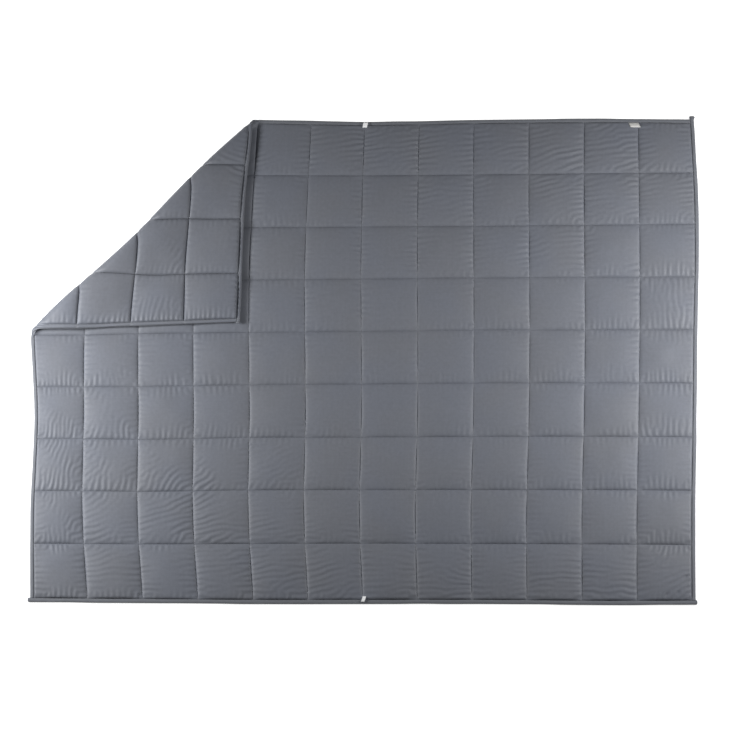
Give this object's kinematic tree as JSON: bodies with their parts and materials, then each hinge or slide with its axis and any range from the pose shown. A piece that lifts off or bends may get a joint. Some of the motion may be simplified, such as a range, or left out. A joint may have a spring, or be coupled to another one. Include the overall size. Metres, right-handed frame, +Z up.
{
  "type": "weighted blanket",
  "caption": "Quilted weighted blanket in square pockets, bound with tape at its edges, lying flat with one corner folded over.",
  "frame": {"origin": "middle of the blanket's bounding box, on the surface that it lies on", "axes": "+X along the blanket's length, +Y across its width towards the edge whose left end is folded over, +Z up out of the upper face"},
  "size_m": [2.0304, 1.5458, 0.0466],
  "materials": {
    "cover_cloth": "matt woven cotton, slate grey",
    "binding_tape": "matt woven tape, slate grey",
    "loop_tape": "white cotton twill tape",
    "label_tape": "blank off-white satin tape"
  },
  "bodies": {
    "root": {"quilted_body": "cover_cloth", "binding_top": "binding_tape", "binding_right": "binding_tape", "binding_bottom": "binding_tape", "binding_left": "binding_tape", "loop_top": "loop_tape", "loop_bottom": "loop_tape", "label": "label_tape"}
  },
  "joints": []
}
